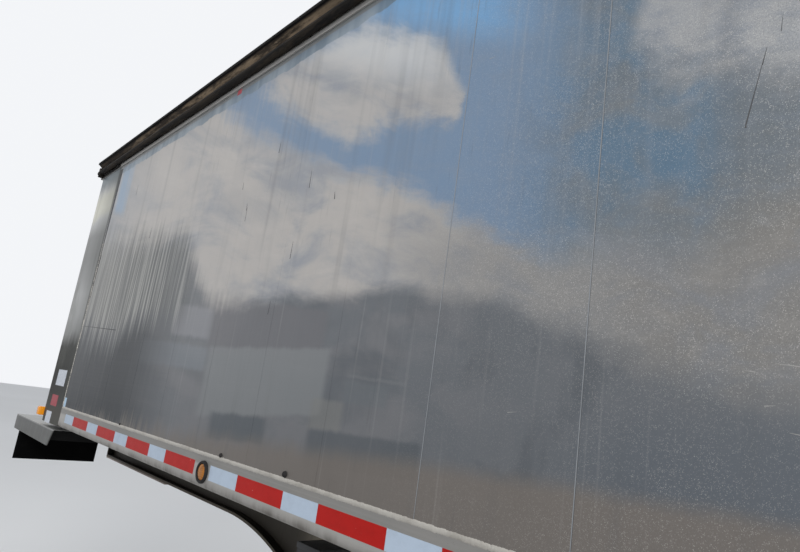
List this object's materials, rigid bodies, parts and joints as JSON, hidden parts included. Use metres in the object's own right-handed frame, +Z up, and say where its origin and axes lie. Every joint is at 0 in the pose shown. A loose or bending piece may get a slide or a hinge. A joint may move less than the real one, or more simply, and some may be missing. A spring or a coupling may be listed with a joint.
{
  "type": "end-dump semi trailer",
  "caption": "End-dump semi trailer with a smooth-sided aluminium bed on a necked frame, a telescopic hoist, a rolling tarp, landing legs and dual wheels.",
  "frame": {"origin": "on the ground under the middle of the trailer's overall length and width", "axes": "+X forward to the kingpin end, +Y to the trailer's left, +Z up"},
  "size_m": [10.591, 2.528, 3.4783],
  "materials": {
    "bed_aluminium": "dull polished, streaked with dirt",
    "frame_metal": "dull mill finish",
    "deck_metal": "dull",
    "black_steel": "worn satin black",
    "steel": "worn bare steel",
    "tank_metal": "satin black",
    "crank_metal": "zinc plated",
    "flap_rubber": "matt black rubber",
    "tyre_rubber": "worn rubber",
    "wheel_metal": "white painted steel",
    "hoist_paint": "black paint",
    "hoist_chrome": "oiled polished steel",
    "tarp_vinyl": "dusty black vinyl",
    "cap_metal": "dull polished",
    "coupling_metal": "cast",
    "lamp_lens": "amber lens"
  },
  "bodies": {
    "chassis": {"main_beams": "frame_metal", "frame_crossmembers": "frame_metal", "coupler_plate": "frame_metal", "kingpin": "steel", "front_deck": "deck_metal", "front_flaps": "flap_rubber", "hoist_cradle": "frame_metal", "landing_legs": "black_steel", "landing_brackets": "black_steel", "landing_crank": "black_steel", "spring_hangers": "black_steel", "leaf_springs": "black_steel", "suspension_arms": "black_steel", "axle_front": "black_steel", "axle_rear": "black_steel", "brake_chambers": "black_steel", "air_tanks": "tank_metal", "hinge_blocks": "frame_metal", "rear_guard": "black_steel", "rear_lights": "black_steel", "flap_bars": "frame_metal", "rear_flaps": "flap_rubber", "air_couplings": "coupling_metal"},
    "bed": {"bed_floor": "bed_aluminium", "bed_crossmembers": "bed_aluminium", "bed_sills": "bed_aluminium", "bottom_rails": "bed_aluminium", "side_wall_left": "bed_aluminium", "side_wall_right": "bed_aluminium", "front_posts": "bed_aluminium", "front_bulkhead": "bed_aluminium", "rear_posts": "bed_aluminium", "top_rails": "bed_aluminium", "tarp_eaves": "bed_aluminium", "tarp_roll": "tarp_vinyl", "tarp_crank": "crank_metal", "tarp_bows": "bed_aluminium", "tarp_cover": "tarp_vinyl", "tarp_caps": "cap_metal", "hinge_ears": "frame_metal", "hoist_bracket": "bed_aluminium", "side_lamps": "lamp_lens"},
    "tailgate": {"tailgate": "bed_aluminium", "tailgate_arms": "bed_aluminium"},
    "hoist_barrel": {"hoist_barrel": "hoist_paint"},
    "hoist_stage_1": {"hoist_stage_1": "hoist_chrome"},
    "hoist_stage_2": {"hoist_stage_2": "hoist_chrome"},
    "hoist_stage_3": {"hoist_stage_3": "hoist_chrome"},
    "hoist_stage_4": {"hoist_stage_4": "hoist_chrome"},
    "hoist_stage_5": {"hoist_stage_5": "hoist_chrome"},
    "wheels_front_left": {"tyres_front_left": "tyre_rubber", "wheel_front_left": "wheel_metal"},
    "wheels_front_right": {"tyres_front_right": "tyre_rubber", "wheel_front_right": "wheel_metal"},
    "wheels_rear_left": {"tyres_rear_left": "tyre_rubber", "wheel_rear_left": "wheel_metal"},
    "wheels_rear_right": {"tyres_rear_right": "tyre_rubber", "wheel_rear_right": "wheel_metal"}
  },
  "joints": [
    {"name": "bed_raise", "type": "hinge", "parent": "chassis", "child": "bed", "pos_m": [-5.0195, 0, 1.3], "axis": [0, -1, 0], "range_deg": [0, 40]},
    {"name": "tailgate_swing", "type": "hinge", "parent": "bed", "child": "tailgate", "pos_m": [-5.1395, 0, 3.313], "axis": [0, 1, 0], "range_deg": [0, 75]},
    {"name": "hoist_tilt", "type": "hinge", "parent": "chassis", "child": "hoist_barrel", "pos_m": [5.1155, 0, 1.345], "axis": [0, -1, 0], "range_deg": [0, 25]},
    {"name": "hoist_slide_1", "type": "slide", "parent": "hoist_barrel", "child": "hoist_stage_1", "axis": [0, 0, 1], "range_m": [0, 1.373]},
    {"name": "hoist_slide_2", "type": "slide", "parent": "hoist_stage_1", "child": "hoist_stage_2", "axis": [0, 0, 1], "range_m": [0, 1.373]},
    {"name": "hoist_slide_3", "type": "slide", "parent": "hoist_stage_2", "child": "hoist_stage_3", "axis": [0, 0, 1], "range_m": [0, 1.373]},
    {"name": "hoist_slide_4", "type": "slide", "parent": "hoist_stage_3", "child": "hoist_stage_4", "axis": [0, 0, 1], "range_m": [0, 1.373]},
    {"name": "hoist_slide_5", "type": "slide", "parent": "hoist_stage_4", "child": "hoist_stage_5", "axis": [0, 0, 1], "range_m": [0, 1.373]},
    {"name": "wheels_front_left_spin", "type": "hinge", "parent": "chassis", "child": "wheels_front_left", "pos_m": [-2.9845, 0.908, 0.525], "axis": [0, 1, 0], "continuous": true},
    {"name": "wheels_front_right_spin", "type": "hinge", "parent": "chassis", "child": "wheels_front_right", "pos_m": [-2.9845, -0.908, 0.525], "axis": [0, 1, 0], "continuous": true},
    {"name": "wheels_rear_left_spin", "type": "hinge", "parent": "chassis", "child": "wheels_rear_left", "pos_m": [-4.2295, 0.908, 0.525], "axis": [0, 1, 0], "continuous": true},
    {"name": "wheels_rear_right_spin", "type": "hinge", "parent": "chassis", "child": "wheels_rear_right", "pos_m": [-4.2295, -0.908, 0.525], "axis": [0, 1, 0], "continuous": true}
  ],
  "couplings": [
    {"joint": "hoist_tilt", "follows": "bed_raise", "ratio": 0.60055},
    {"joint": "hoist_slide_1", "follows": "bed_raise", "m_per_rad": 1.9635},
    {"joint": "hoist_slide_2", "follows": "bed_raise", "m_per_rad": 1.9635},
    {"joint": "hoist_slide_3", "follows": "bed_raise", "m_per_rad": 1.9635},
    {"joint": "hoist_slide_4", "follows": "bed_raise", "m_per_rad": 1.9635},
    {"joint": "hoist_slide_5", "follows": "bed_raise", "m_per_rad": 1.9635}
  ]
}
